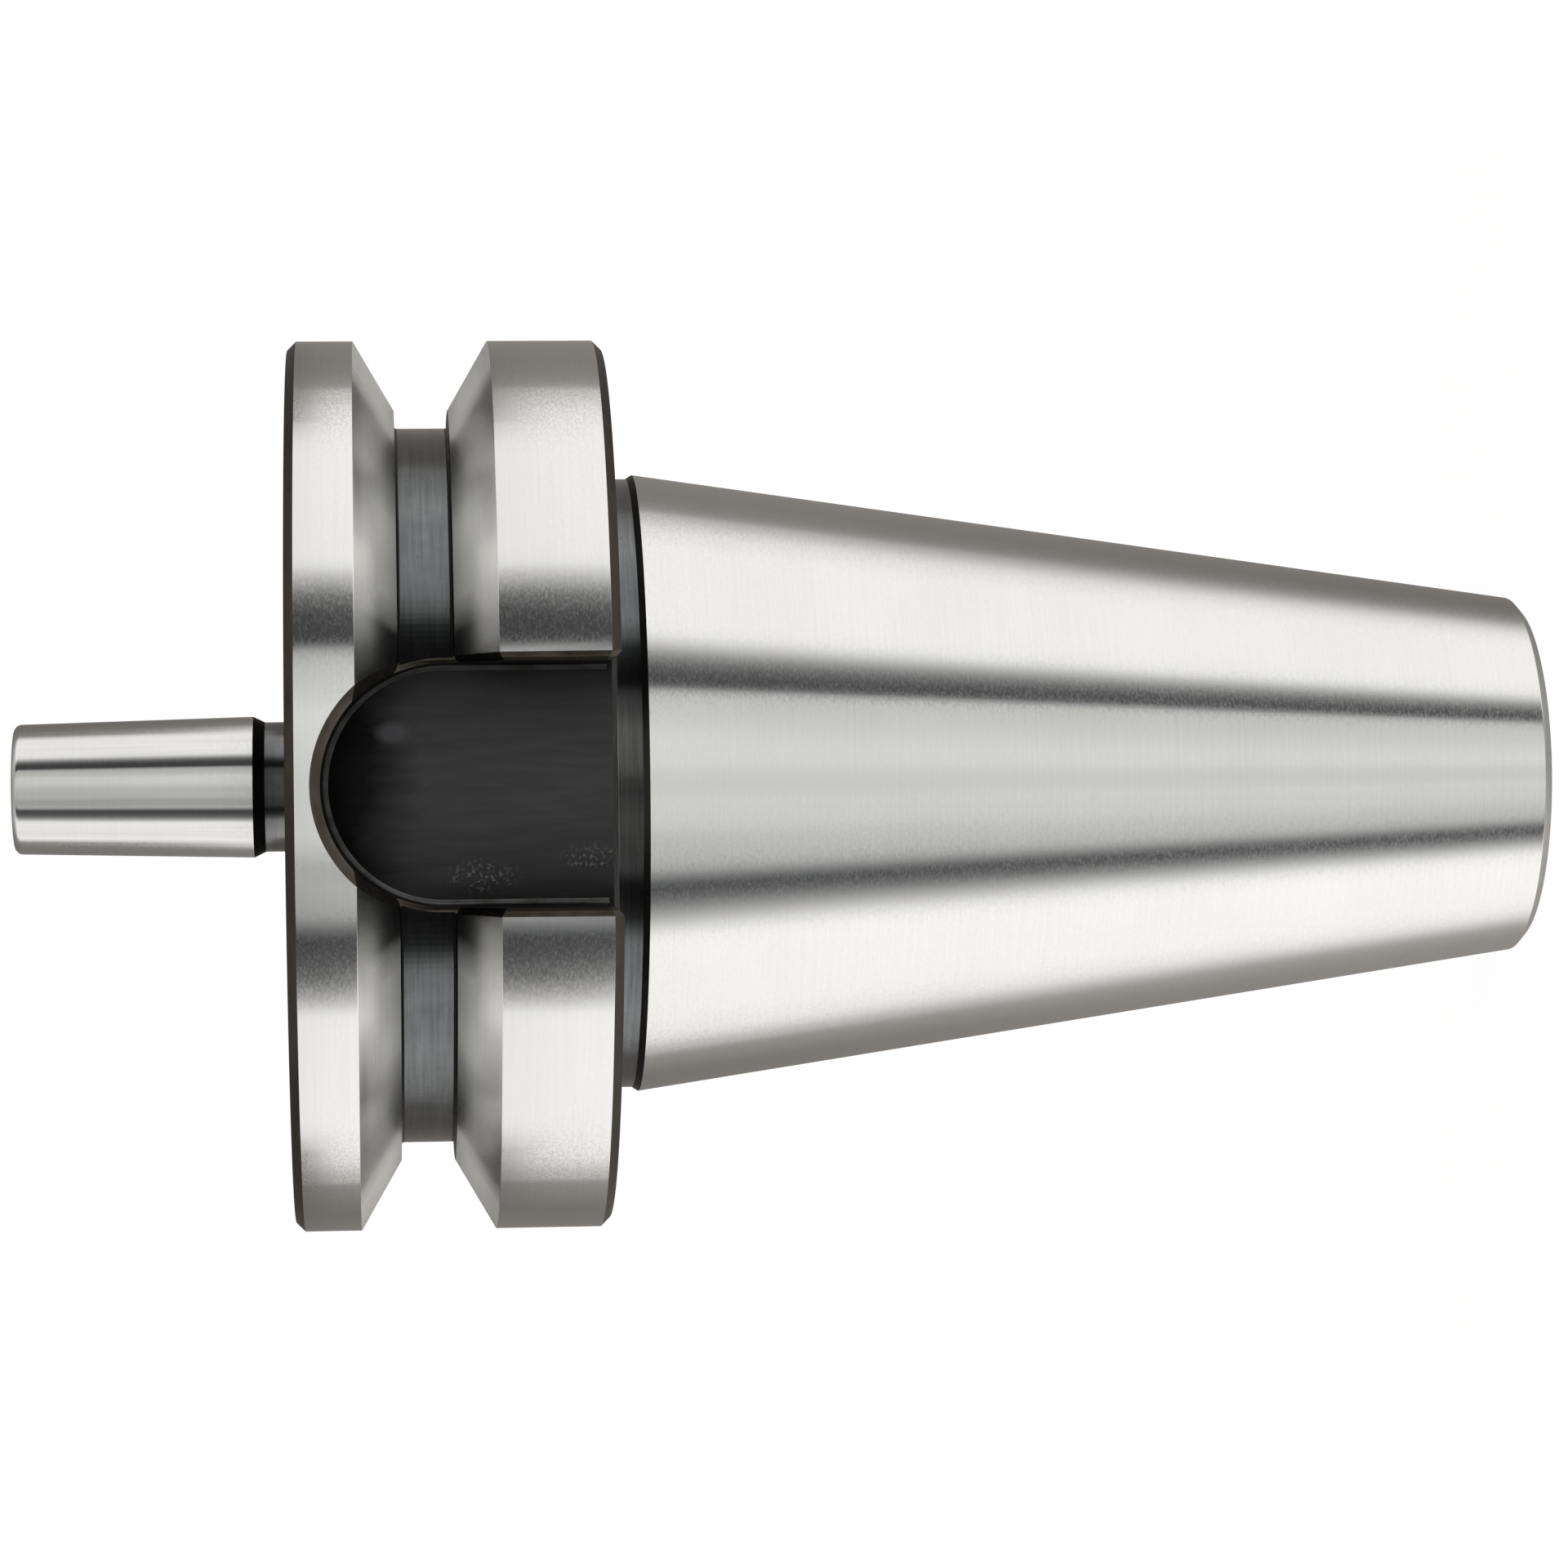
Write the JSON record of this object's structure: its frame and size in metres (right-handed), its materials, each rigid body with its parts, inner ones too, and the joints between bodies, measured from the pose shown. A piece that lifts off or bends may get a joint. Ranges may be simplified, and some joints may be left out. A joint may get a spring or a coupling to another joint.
{
  "type": "drill chuck arbor",
  "caption": "Steel arbor that carries a drill chuck on a short taper stub in a milling machine's taper spindle, with a gripper groove and drive slots in its flange.",
  "frame": {"origin": "centre of the small end face of the spindle taper, which the arbor stands on", "axes": "+Z along the arbor's axis towards the chuck stub; +Y and -Y through the middles of the two drive slots"},
  "size_m": [0.1, 0.1, 0.1708],
  "materials": {
    "arbor_steel": "ground bright, with a black oxide on the slots, the groove's root, the neck and the flange faces"
  },
  "bodies": {
    "root": {"arbor": "arbor_steel"}
  },
  "joints": []
}
